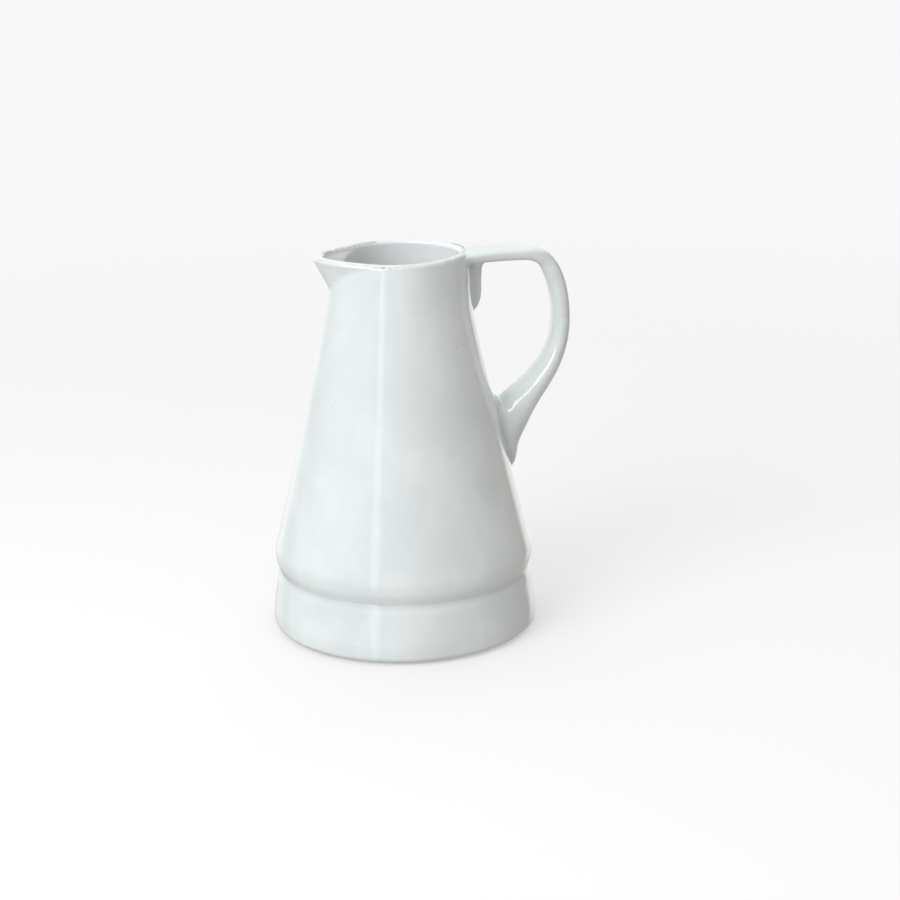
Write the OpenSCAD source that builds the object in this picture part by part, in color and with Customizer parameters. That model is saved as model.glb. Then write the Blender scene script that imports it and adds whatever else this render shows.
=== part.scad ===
// Pouring pitcher, glazed stoneware: a tall conical body on a stepped base band,
// a pulled beak at the rim and a strap handle that leaves the rim level and
// returns to the wall in a long flared root.
// Millimetres, +Z up. The origin is on the axis of the body, on the plane the
// foot stands on. +X points to the handle and -X to the beak.

/* [Body] */
// Height of the rim above the surface the pitcher stands on
height = 240; // [200:5:280]
// Outside diameter of the rim
rim_d = 78; // [70:1:90]
// Outside diameter of the rounded lip that overhangs the base band
lip_d = 163.4; // [150:0.2:180]
// Height of the widest point of that lip
lip_z = 47.6; // [42:0.2:54]
// How far the side of the body hollows inward, halfway up
hollow = 1.5; // [0:0.1:4]
// Thickness of the wall at the rim
rim_wall = 5.2; // [3:0.1:6]
// Thickness of the wall at the foot of the body
foot_wall = 4.8; // [4:0.1:6]

/* [Base] */
// Outside diameter of the groove between body and base band
groove_d = 158.8; // [150:0.2:160]
// Height of that groove
groove_z = 37.6; // [32:0.2:40]
// Largest outside diameter of the base band
base_d = 168; // [160:1:180]
// Thickness of the floor
floor_t = 5.5; // [4:0.5:8]
// Height of the bare resting ring
foot_h = 3.5; // [2:0.5:5]
// Outside diameter of the resting ring
foot_d = 152; // [146:1:154]
// Radial width of the resting ring
foot_w = 7; // [5:0.5:9]

/* [Beak] */
// How far the tip of the beak reaches from the axis
beak_reach = 52; // [48:0.5:60]
// Half of the angle that the beak takes out of the rim
beak_half = 56; // [48:1:60]
// How quickly the beak narrows away from its tip, in degrees
beak_spread = 27; // [20:1:32]
// How much higher the tip stands than the rim
beak_rise = 0.6; // [0:0.1:2]
// Depth of the beak below the rim where it leaves the neck
beak_drop = 20; // [16:1:26]

/* [Handle] */
// Width of the strap at the grip
strap_w = 21; // [18:0.5:26]
// Thickness of the strap at the grip
strap_t = 10.5; // [8:0.5:12]
// Distance of the grip's middle from the axis
grip_x = 104; // [98:1:112]
// Width of the flared root where it meets the wall
root_w = 36; // [30:1:42]
// Height of the flared root along the wall
root_h = 46; // [42:1:56]
// How far the lug stands out from the axis
lug_x = 52.6; // [51:0.2:55]
// Half of the lug's width at its top
lug_half = 10.5; // [8:0.5:12]

/* [Hidden] */

glaze = [0.93, 0.95, 0.95];
bare = [0.80, 0.74, 0.66];

rim_r = rim_d / 2;
lip_r = lip_d / 2;
groove_r = groove_d / 2;
base_r = base_d / 2;
foot_r = foot_d / 2;
beak_z = height - beak_drop;
lip_top = lip_z + 6;
rim_round = rim_wall / 2;
$fn = 160;

// ---- the body's own profile -------------------------------------------------

// Radius of the straight-sided cone, hollowed a little, at height z
function side(z) = let (t = (z - lip_z) / (height - lip_z))
    lip_r + 0.9 + (rim_r - lip_r - 0.9) * t - 4 * hollow * t * (1 - t);

// A smooth step from 0 to 1
function soft(t) = let (u = min(1, max(0, t))) u * u * (3 - 2 * u);

// Outside radius of the base band above its widest level, at height z
function band(z) = groove_r + 0.7 * soft((groove_z - z) / 3.6)
    + (base_r - groove_r - 0.7) * (groove_z - z) / (groove_z - 12);

// Outside radius of the upper wall at height z, with its rounded lower lip
function outer(z) = z > lip_top ? side(z)
    : z > lip_z ? side(z) - 0.9 * pow((lip_top - z) / (lip_top - lip_z), 2)
    : lip_r - (lip_r - groove_r) * soft(pow((lip_z - z) / (lip_z - groove_z), 1.5));

// Wall thickness, measured level, at height z
function thick(z) = foot_wall + (rim_wall - foot_wall) * (z - groove_z) / (height - groove_z);

// Inside radius at height z
function inner(z) = (z > lip_top ? side(z) : side(lip_top) - (side(lip_top) - groove_r - 0.2)
    * (lip_top - z) / (lip_top - groove_z) * 0.2 + (lip_top - z) * 0.02) - thick(z);

// Steps from a to b
function steps(a, b, n) = [for (i = [0:n]) a + (b - a) * i / n];

// Outline of the upper wall between two heights, going up outside, down inside
function wall_outline(z0, z1) = concat(
    [for (z = steps(z0, min(lip_z, z1), 8)) [outer(z), z]],
    [for (z = steps(lip_z + 0.75, lip_top, 7)) [outer(z), z]],
    [for (z = steps(lip_top + 8, z1 - rim_round, 22)) [outer(z), z]],
    [for (a = [20:20:160]) [outer(z1) + rim_round * (cos(a) - 1), z1 + rim_round * (sin(a) - 1)]],
    [for (z = steps(z1 - rim_round, lip_top + 8, 22)) [inner(z), z]],
    [for (z = steps(lip_top, z0, 6)) [inner(z), z]]);

// The filled outside shape of the body, used to trim what is joined to it
module body_mass() {
    rotate_extrude()
        polygon(concat([[0, groove_z]],
            [for (z = steps(groove_z, lip_z, 8)) [outer(z), z]],
            [for (z = steps(lip_z + 0.75, lip_top, 7)) [outer(z), z]],
            [for (z = steps(lip_top + 8, height - rim_round, 22)) [outer(z), z]],
            [[outer(height - rim_round), height + 6], [0, height + 6]]));
}

// ---- closed skins through rings of points ----------------------------------

// A closed solid through equal rings, the first and last closed flat
module skin(rings) {
    n = len(rings[0]);
    m = len(rings);
    polyhedron(
        points = [for (r = rings) each r],
        faces = concat(
            [[for (i = [n - 1:-1:0]) i]],
            [for (k = [0:m - 2], i = [0:n - 1]) let (j = (i + 1) % n)
                [k * n + i, k * n + j, (k + 1) * n + j]],
            [for (k = [0:m - 2], i = [0:n - 1]) let (j = (i + 1) % n)
                [k * n + i, (k + 1) * n + j, (k + 1) * n + i]],
            [[for (i = [0:n - 1]) (m - 1) * n + i]]),
        convexity = 6);
}

// A point on a superellipse with half-axes a and b, exponent e
function super(t, a, b, e) = [a * sign(cos(t)) * pow(abs(cos(t)), 2 / e),
                              b * sign(sin(t)) * pow(abs(sin(t)), 2 / e)];

// Smooth value through rows of numbers, at row k and fraction f
function spline(p, k, f) = let (a = p[max(0, k - 1)], b = p[k], c = p[k + 1],
    d = p[min(len(p) - 1, k + 2)])
    0.5 * (2 * b + (c - a) * f + (2 * a - 5 * b + 4 * c - d) * f * f
    + (3 * b - a - 3 * c + d) * f * f * f);

function smooth_rows(p, n) = concat([for (k = [0:len(p) - 2], i = [0:n - 1])
    spline(p, k, i / n)], [p[len(p) - 1]]);

// One section of the strap: row = [x, z, tilt, thickness, width]
function strap_ring(row, n = 28) = [for (i = [0:n - 1])
    let (q = super(i * 360 / n, row[3] / 2, row[4] / 2, 2.7))
    [row[0] + q[0] * cos(row[2]), -q[1], row[1] + q[0] * sin(row[2])]];

// ---- the handle's own stations ---------------------------------------------

// Each row is [x, z, tilt of the outer face, thickness, width]
arm_z = height - 4.4;
arm_seat = height - 8.2;
strap_rows = [
    [34, arm_z, 90, 8.8, 37], [43, arm_z, 90, 8.8, 30.5], [56, arm_z, 90, 8.8, 24],
    [72, arm_z, 89, 9, strap_w], [84, arm_z - 0.6, 78, 9.6, strap_w],
    [92.4, height - 9.2, 54, strap_t, strap_w], [98.4, height - 19, 28, strap_t + 0.5, strap_w],
    [grip_x - 2, height - 32, 12, strap_t + 0.5, strap_w], [grip_x - 0.8, height - 47, 1, strap_t + 1, strap_w],
    [grip_x - 2.6, height - 62, -12, strap_t + 1.5, strap_w + 1],
    [grip_x - 7.8, height - 75, -27, strap_t + 2.5, strap_w + 3],
    [grip_x - 15.2, height - 86, -40, strap_t + 4.5, strap_w + 5]];
root_rows = [
    strap_rows[len(strap_rows) - 1],
    [grip_x - 22.6, height - 94.8, -48, strap_t + 7.5, strap_w + 7.5],
    [grip_x - 29.4, height - 103.4, -58, strap_t + 13.5, strap_w + 10],
    [grip_x - 34.8, height - 111.6, -69, root_h * 0.68, root_w - 2.5],
    [grip_x - 38.2, height - 118.4, -77.4, root_h, root_w],
    [grip_x - 44.4, height - 119.8, -77.4, root_h, root_w]];

// Each row is [z, how far out, half width], the lug under the arm
lug_rows = [
    [arm_seat, lug_x + 3.4, lug_half + 0.8], [arm_seat - 1.6, lug_x + 1.4, lug_half + 0.4],
    [height - 13, lug_x + 0.4, lug_half], [height - 20, lug_x, lug_half - 0.2],
    [height - 28, lug_x - 0.2, lug_half - 0.8], [height - 33, lug_x - 1.2, lug_half - 2.2],
    [height - 37, lug_x - 3, lug_half - 4.4], [height - 40, lug_x - 5.6, lug_half - 7.6]];

function lug_ring(row, n = 24) = let (back = side(row[0]) - 3.5)
    [for (i = [0:n - 1]) let (q = super(i * 360 / n, row[1] - back, row[2], 2.3))
    [back + q[0], q[1], row[0]]];

// ---- the beak ----------------------------------------------------------------

// How far the beak's rim stands beyond the round rim, at angle a from its tip
function beak_out(a) = (beak_reach - rim_r) * exp(-pow(abs(a) / beak_spread, 1.7))
    * (1 - pow(abs(a) / beak_half, 6));

// How far the beak's outer face stands beyond the neck at angle a and height z
function beak_swell(a, z) = let (fall = (beak_reach - rim_r) / beak_drop,
    raw = beak_out(a) - fall * (height - z))
    0.5 * (raw + sqrt(raw * raw + 1.2)) * min(1, (z - beak_z + 3) / 5)
    * (1 - pow(abs(a) / beak_half, 6));

// Rise of the beak's edge at angle a
function beak_up(a) = beak_rise * exp(-pow(abs(a) / beak_spread, 2));

// One section of the beak at angle a from its tip: over the rim, down inside, up outside
function beak_ring(a) =
    let (lo = beak_z - 3, up = beak_up(a), hs = steps(lo, height - rim_round, 12))
    [for (p = concat(
        [for (b = [20:20:160]) [outer(height) + beak_swell(a, height) + rim_round * (cos(b) - 1),
            height + up + rim_round * (sin(b) - 1)]],
        [for (i = [12:-1:0]) let (z = hs[i])
            [inner(z) + beak_swell(a, z), z + up * (z - lo) / (height - lo)]],
        [for (z = hs) [outer(z) + beak_swell(a, z), z + up * (z - lo) / (height - lo)]]))
        [-p[0] * cos(a), p[0] * sin(a), p[1]]];

// The wedge of neck that the beak takes the place of
module beak_wedge() {
    translate([0, 0, beak_z - 3])
        linear_extrude(60)
            polygon([[0, 0], [-120 * cos(beak_half), 120 * sin(beak_half)],
                     [-160, 0], [-120 * cos(beak_half), -120 * sin(beak_half)]]);
}

// ---- the pieces ---------------------------------------------------------------

// The thrown cone with its rounded rim and its overhanging lower lip
module upper_wall() {
    color(glaze)
        difference() {
            rotate_extrude() polygon(wall_outline(groove_z, height));
            beak_wedge();
        }
}

// The pulled beak, a bent leaf of the same wall set into the rim
module beak() {
    color(glaze)
        skin([for (a = steps(-beak_half, beak_half, 36)) beak_ring(a)]);
}

// The base band, from its bottom edge to the groove below the lip
module base_band() {
    h = foot_h + floor_t;
    color(glaze)
        rotate_extrude()
            polygon(concat(
                [[foot_r, 0.3]],
                [for (a = [-80:16:0]) [base_r - 8 + 8 * cos(a), 5.5 + 5.2 * sin(a)]],
                [for (z = [12, 20, 28, 33, 34.2, 35.4, 36.5]) [band(z), z]],
                [[groove_r, groove_z], [inner(groove_z), groove_z]],
                [[inner(groove_z) + 1.4, 29], [inner(groove_z) + 2.9, 20]],
                [for (a = [0:18:72]) [inner(groove_z) - 4.4 + 7.6 * cos(a), h + 8.6 - 8.6 * sin(a)]],
                [[inner(groove_z) - 4.4, h], [foot_r, h]]));
}

// The slab that closes the base, standing on the resting ring
module floor_disc() {
    color(glaze)
        translate([0, 0, foot_h]) cylinder(h = floor_t, r = foot_r);
}

// The bare ring the pitcher stands on
module foot_ring() {
    color(bare)
        rotate_extrude()
            polygon([[foot_r - foot_w + 1, 0], [foot_r - 0.6, 0], [foot_r, 0.3], [foot_r, foot_h],
                     [foot_r - foot_w, foot_h], [foot_r - foot_w, 1]]);
}

// The strap, from the rim level outwards and down the grip
module handle_strap() {
    color(glaze)
        difference() {
            skin([for (r = smooth_rows(strap_rows, 5)) strap_ring(r)]);
            body_mass();
            // the flat seat the lug is pressed against
            translate([20, -20, arm_seat - 10]) cube([38, 40, 10]);
        }
}

// The lug of clay pressed down the neck under the strap's upper end
module handle_lug() {
    color(glaze)
        difference() {
            skin([for (r = smooth_rows(lug_rows, 3)) lug_ring(r)]);
            body_mass();
        }
}

// The flared root that spreads the strap's lower end over the wall
module handle_root() {
    color(glaze)
        difference() {
            skin([for (r = smooth_rows(root_rows, 5)) strap_ring(r)]);
            body_mass();
        }
}

upper_wall();
beak();
base_band();
floor_disc();
foot_ring();
handle_strap();
handle_lug();
handle_root();
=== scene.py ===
"""A glazed ceramic pitcher on a pale studio floor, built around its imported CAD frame.

Every length in the classes is in millimetres, as in the CAD source, and every mesh
is written in metres. +X points to the handle, -X to the beak and +Z up. Angles round
the body are in degrees, measured from the handle.
"""

import logging
import math
from dataclasses import dataclass, field
from enum import Enum

import bpy
import numpy as np
from mathutils import Matrix, Vector

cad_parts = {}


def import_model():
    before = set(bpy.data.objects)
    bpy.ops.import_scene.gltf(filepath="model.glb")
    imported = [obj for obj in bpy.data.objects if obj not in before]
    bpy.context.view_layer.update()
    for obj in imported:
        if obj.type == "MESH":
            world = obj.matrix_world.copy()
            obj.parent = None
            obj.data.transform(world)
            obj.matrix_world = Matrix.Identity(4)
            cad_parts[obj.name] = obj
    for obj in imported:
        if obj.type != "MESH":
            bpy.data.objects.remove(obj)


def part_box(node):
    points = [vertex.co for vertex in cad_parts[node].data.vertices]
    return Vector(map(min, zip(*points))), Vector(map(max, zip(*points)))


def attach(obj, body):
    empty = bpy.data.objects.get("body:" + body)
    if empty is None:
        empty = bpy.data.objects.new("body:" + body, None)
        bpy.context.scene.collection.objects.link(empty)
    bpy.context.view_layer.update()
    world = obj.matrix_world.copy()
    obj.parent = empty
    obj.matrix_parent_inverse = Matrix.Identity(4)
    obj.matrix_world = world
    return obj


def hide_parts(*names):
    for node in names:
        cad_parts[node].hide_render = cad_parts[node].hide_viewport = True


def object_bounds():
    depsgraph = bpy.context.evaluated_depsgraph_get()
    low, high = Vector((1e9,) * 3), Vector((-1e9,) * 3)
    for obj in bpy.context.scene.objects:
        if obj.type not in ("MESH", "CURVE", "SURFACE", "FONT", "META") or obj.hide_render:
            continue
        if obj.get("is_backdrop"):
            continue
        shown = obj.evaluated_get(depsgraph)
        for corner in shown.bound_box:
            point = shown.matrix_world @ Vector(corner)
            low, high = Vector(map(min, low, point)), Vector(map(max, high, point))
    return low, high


logging.basicConfig(level=logging.INFO, format="%(message)s")
LOG = logging.getLogger("pitcher")

MM = 0.001
BODY = "root"

Colour = tuple[float, float, float]
Materials = dict[str, bpy.types.Material]


# ---------------------------------------------------------------------------
# Shapes as arrays
# ---------------------------------------------------------------------------


def smooth(low: float, high: float, x: np.ndarray) -> np.ndarray:
    """A smooth step: 0 below low, 1 above high, and 3t^2 - 2t^3 between them.

    Args:
        low: Where the step starts.
        high: Where the step ends.
        x: The values to be stepped.

    Returns:
        An array of numbers from 0 to 1.
    """
    t = np.clip((np.asarray(x, float) - low) / (high - low), 0.0, 1.0)
    return t * t * (3.0 - 2.0 * t)


def opaque(colour: Colour) -> tuple[float, float, float, float]:
    """A colour with a full alpha after it, as a shader's socket takes it."""
    return (*colour, 1.0)


def bell(x: np.ndarray, width: float, power: float = 2.0) -> np.ndarray:
    """A bell curve: e to the minus (|x| / width) to the given power."""
    return np.exp(-(np.abs(x) / width) ** power)


def superellipse(
    turn: np.ndarray, a: np.ndarray, b: np.ndarray, power: float
) -> tuple[np.ndarray, np.ndarray]:
    """Points of a superellipse: |x/a|^power + |y/b|^power = 1.

    Args:
        turn: Angles round it, in radians.
        a: Half-axis along the first direction.
        b: Half-axis along the second direction.
        power: 2 is an ellipse, and more is squarer.

    Returns:
        The two coordinates.
    """
    c, s = np.cos(turn), np.sin(turn)
    share = 2 / power
    return a * np.sign(c) * np.abs(c) ** share, b * np.sign(s) * np.abs(s) ** share


def spline(rows: np.ndarray, count: int) -> np.ndarray:
    """A Catmull-Rom curve through rows of numbers.

    Args:
        rows: Stations, one to a row.
        count: Points for each step between two stations.

    Returns:
        (len(rows) - 1) * count + 1 rows on the curve, which passes through every station.
    """
    rows = np.asarray(rows, float)
    steps = len(rows) - 1
    at = np.arange(steps * count + 1) / count
    k = np.minimum(at.astype(int), steps - 1)
    f = (at - k)[:, None]
    a, b, c, d = (rows[np.clip(k + i, 0, steps)] for i in (-1, 0, 1, 2))
    square = (2 * a - 5 * b + 4 * c - d) * f**2
    cube = (3 * b - a - 3 * c + d) * f**3
    return 0.5 * (2 * b + (c - a) * f + square + cube)


def grid_normals(points: np.ndarray) -> np.ndarray:
    """Unit normals of a grid whose columns wrap round: the cross product of its two slopes.

    Args:
        points: (rows, columns, 3).

    Returns:
        An array of the same shape.
    """
    along = np.gradient(points, axis=0)
    around = np.roll(points, -1, axis=1) - np.roll(points, 1, axis=1)
    normals = np.cross(around, along)
    return normals / np.maximum(np.linalg.norm(normals, axis=2, keepdims=True), 1e-12)


def quads(rows: np.ndarray, columns: np.ndarray, width: int) -> np.ndarray:
    """Quads of a grid with `width` columns that wrap, for the given lower rows and left columns.

    Args:
        rows: Index of each quad's lower row.
        columns: Index of each quad's left column.
        width: Columns in the whole grid.

    Returns:
        (n, 4) vertex numbers, anticlockwise seen from the side grid_normals points to.
    """
    r, c = np.meshgrid(rows, columns, indexing="ij")
    r, c = r.ravel(), c.ravel()
    d = (c + 1) % width
    low, high = r * width, (r + 1) * width
    return np.stack([low + c, low + d, high + d, high + c], axis=1)


def closing(rows: int, width: int) -> np.ndarray:
    """Quads from a grid's last row back to its first, for a profile that closes on itself.

    Args:
        rows: Rows in the grid.
        width: Columns in it.

    Returns:
        (width, 4) vertex numbers.
    """
    first = np.arange(width)
    after = (first + 1) % width
    last = (rows - 1) * width
    return np.stack([last + first, last + after, after, first], axis=1)


def carried(radius: np.ndarray, z: np.ndarray, angle: np.ndarray) -> np.ndarray:
    """Points at the given radii and heights, carried round the axis.

    Args:
        radius: Distances from the axis.
        z: Heights.
        angle: Angles in degrees.

    Returns:
        Points (rows, columns, 3).
    """
    a = np.radians(angle)
    shape = np.broadcast_shapes(radius.shape, z.shape, angle.shape)
    x, y = radius * np.cos(a), radius * np.sin(a)
    return np.stack([np.broadcast_to(v, shape) for v in (x, y, z)], axis=2)


@dataclass
class Patch:
    """Faces that share one set of points, and the painted values they carry."""

    points: np.ndarray
    paint: dict[str, np.ndarray] = field(default_factory=dict)
    soft: list[np.ndarray] = field(default_factory=list)
    flat: list[np.ndarray] = field(default_factory=list)
    fans: list[tuple[np.ndarray, bool]] = field(default_factory=list)

    def build(self, name: str) -> bpy.types.Object:
        """Makes the mesh object, keeping only the points in use.

        Soft faces are shaded smooth. Flat faces and fans, which close a joint, are not,
        so that two pieces cut from one skin still shade as one surface up to the cut.

        Args:
            name: The object's name.

        Returns:
            The new object, linked to the scene, at the origin.
        """
        soft = np.concatenate(self.soft)
        points = self.points.reshape(-1, 3) * MM
        paint = {k: v.reshape(-1) for k, v in self.paint.items()}
        triangles = []
        for ring, up in self.fans:
            centre = len(points)
            points = np.vstack([points, points[ring].mean(axis=0)])
            paint = {k: np.append(v, v[ring].mean()) for k, v in paint.items()}
            a, b = ring, np.roll(ring, -1)
            corners = [a, b, np.full(len(ring), centre)]
            triangles.append(np.stack(corners if up else corners[::-1], axis=1))
        flat = np.concatenate([np.zeros((0, 4), int), *self.flat])
        fan = np.concatenate([np.zeros((0, 3), int), *triangles])
        loops = np.concatenate([soft.ravel(), flat.ravel(), fan.ravel()])
        sizes = np.repeat([4, 3], [len(soft) + len(flat), len(fan)])
        used = np.unique(loops)
        lookup = np.full(len(points), -1)
        lookup[used] = np.arange(len(used))
        mesh = bpy.data.meshes.new(name)
        mesh.vertices.add(len(used))
        mesh.vertices.foreach_set("co", points[used].ravel())
        mesh.loops.add(len(loops))
        mesh.loops.foreach_set("vertex_index", lookup[loops].astype(np.int32))
        mesh.polygons.add(len(sizes))
        mesh.polygons.foreach_set("loop_start", (np.cumsum(sizes) - sizes).astype(np.int32))
        mesh.polygons.foreach_set("use_smooth", np.arange(len(sizes)) < len(soft))
        mesh.update(calc_edges=True)
        if mesh.validate():
            LOG.warning("%s: faces were mended", name)
        joint = np.zeros(len(used), bool)
        joint[lookup[loops[soft.size :]]] = True
        ends = np.empty(len(mesh.edges) * 2, np.int32)
        mesh.edges.foreach_get("vertices", ends)
        mesh.edges.foreach_set("use_edge_sharp", joint[ends.reshape(-1, 2)].all(axis=1))
        for key, values in paint.items():
            layer = mesh.attributes.new(key, "FLOAT", "POINT")
            layer.data.foreach_set("value", values[used].astype(np.float32))
        piece = bpy.data.objects.new(name, mesh)
        bpy.context.scene.collection.objects.link(piece)
        return piece


# ---------------------------------------------------------------------------
# Finishes
# ---------------------------------------------------------------------------


class Slot(Enum):
    """The named places on the pitcher that a finish belongs to."""

    WALL = "glaze"
    BEAK = "glaze_beak"
    BASE = "glaze_base"
    FLOOR = "glaze_floor"
    STRAP = "glaze_strap"
    LUG = "glaze_lug"
    ROOT = "glaze_root"
    FOOT = "bare_clay"


class Nodes:
    """A small writer of shader nodes in one tree."""

    def __init__(self, tree: bpy.types.NodeTree, place: str) -> None:
        """Takes a tree to write in.

        Args:
            tree: The nodes' tree.
            place: Name of the texture coordinate that patterns are read at.
        """
        self.tree = tree
        self.place = self.add("ShaderNodeTexCoord").outputs[place]

    def add(self, kind: str, **settings: object) -> bpy.types.Node:
        """Adds a node and sets its own options.

        Args:
            kind: The node's type name.
            settings: Options of the node, by name.

        Returns:
            The node.
        """
        node = self.tree.nodes.new(kind)
        for key, value in settings.items():
            setattr(node, key, value)
        return node

    def link(self, source: bpy.types.NodeSocket, target: bpy.types.NodeSocket) -> None:
        """Links two sockets."""
        self.tree.links.new(source, target)

    def feed(self, target: bpy.types.NodeSocket, value: object) -> None:
        """Links a socket into the target, or sets the target's own value.

        Args:
            target: The socket that takes it.
            value: Another node's socket, or a plain value.
        """
        if isinstance(value, bpy.types.NodeSocket):
            self.link(value, target)
        else:
            target.default_value = value

    def ramp(
        self,
        value: bpy.types.NodeSocket,
        low: float,
        high: float,
        to_low: float = 0.0,
        to_high: float = 1.0,
        kind: str = "SMOOTHSTEP",
    ) -> bpy.types.NodeSocket:
        """A step of a value, smooth unless another kind is asked for.

        Args:
            value: What is read.
            low: Where the step starts.
            high: Where it ends.
            to_low: Result below low.
            to_high: Result above high.
            kind: How it runs from low to high.

        Returns:
            The stepped value.
        """
        node = self.add("ShaderNodeMapRange", interpolation_type=kind)
        self.link(value, node.inputs["Value"])
        limits = {"From Min": low, "From Max": high, "To Min": to_low, "To Max": to_high}
        for key, number in limits.items():
            node.inputs[key].default_value = number
        return node.outputs["Result"]

    def math(self, operation: str, a: object, b: object) -> bpy.types.NodeSocket:
        """A Math node on two values or sockets.

        Args:
            operation: The node's operation, such as MULTIPLY.
            a: First value.
            b: Second value.

        Returns:
            The result, held between 0 and 1.
        """
        node = self.add("ShaderNodeMath", operation=operation, use_clamp=True)
        self.feed(node.inputs[0], a)
        self.feed(node.inputs[1], b)
        return node.outputs["Value"]

    def mix(self, share: object, a: object, b: object) -> bpy.types.NodeSocket:
        """A colour between a and b.

        Args:
            share: 0 gives a, 1 gives b.
            a: First colour.
            b: Second colour.

        Returns:
            The mixed colour.
        """
        node = self.add("ShaderNodeMix", data_type="RGBA")
        self.feed(node.inputs["Factor"], share)
        self.feed(node.inputs[6], a)
        self.feed(node.inputs[7], b)
        return node.outputs[2]


class Shader(Nodes):
    """A writer of shader nodes for one new material, with a Principled shader on its output."""

    def __init__(self, name: str) -> None:
        """Starts the material.

        Args:
            name: The material's name.
        """
        self.material = bpy.data.materials.new(name)
        self.material.use_nodes = True
        super().__init__(self.material.node_tree, "Object")
        self.surface = self.tree.nodes["Principled BSDF"]

    def noise(
        self, scale: float, detail: float = 2.0, stretch: tuple[float, float, float] = (1, 1, 1)
    ) -> bpy.types.NodeSocket:
        """Noise in the piece's own space.

        Args:
            scale: Features per metre, roughly.
            detail: Octaves.
            stretch: How much finer the noise is along each axis.

        Returns:
            A value from 0 to 1, around 0.5.
        """
        source = self.place
        if stretch != (1, 1, 1):
            mapping = self.add("ShaderNodeMapping")
            mapping.inputs["Scale"].default_value = stretch
            self.link(self.place, mapping.inputs["Vector"])
            source = mapping.outputs["Vector"]
        node = self.add("ShaderNodeTexNoise")
        self.link(source, node.inputs["Vector"])
        node.inputs["Scale"].default_value = scale
        node.inputs["Detail"].default_value = detail
        return node.outputs["Fac"]

    def painted(self, name: str) -> bpy.types.NodeSocket:
        """A value painted on the mesh under that name."""
        return self.add("ShaderNodeAttribute", attribute_name=name).outputs["Fac"]

    def cells(self, scale: float) -> tuple[bpy.types.NodeSocket, bpy.types.NodeSocket]:
        """A pattern of scattered points, one to a cell.

        Args:
            scale: Cells per metre.

        Returns:
            The distance from the nearest point, and that cell's own random colour.
        """
        node = self.add("ShaderNodeTexVoronoi", feature="F1")
        self.link(self.place, node.inputs["Vector"])
        node.inputs["Scale"].default_value = scale
        return node.outputs["Distance"], node.outputs["Color"]

    def bump(
        self,
        height: bpy.types.NodeSocket,
        distance: float,
        strength: float,
        under: bpy.types.NodeSocket | None = None,
    ) -> bpy.types.NodeSocket:
        """A bump from a height.

        Args:
            height: Height from 0 to 1.
            distance: Height in metres that 1 stands for.
            strength: Share of the effect.
            under: A bump this one adds to.

        Returns:
            The bent normal.
        """
        node = self.add("ShaderNodeBump")
        node.inputs["Distance"].default_value = distance
        node.inputs["Strength"].default_value = strength
        self.link(height, node.inputs["Height"])
        if under is not None:
            self.link(under, node.inputs["Normal"])
        return node.outputs["Normal"]


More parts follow.
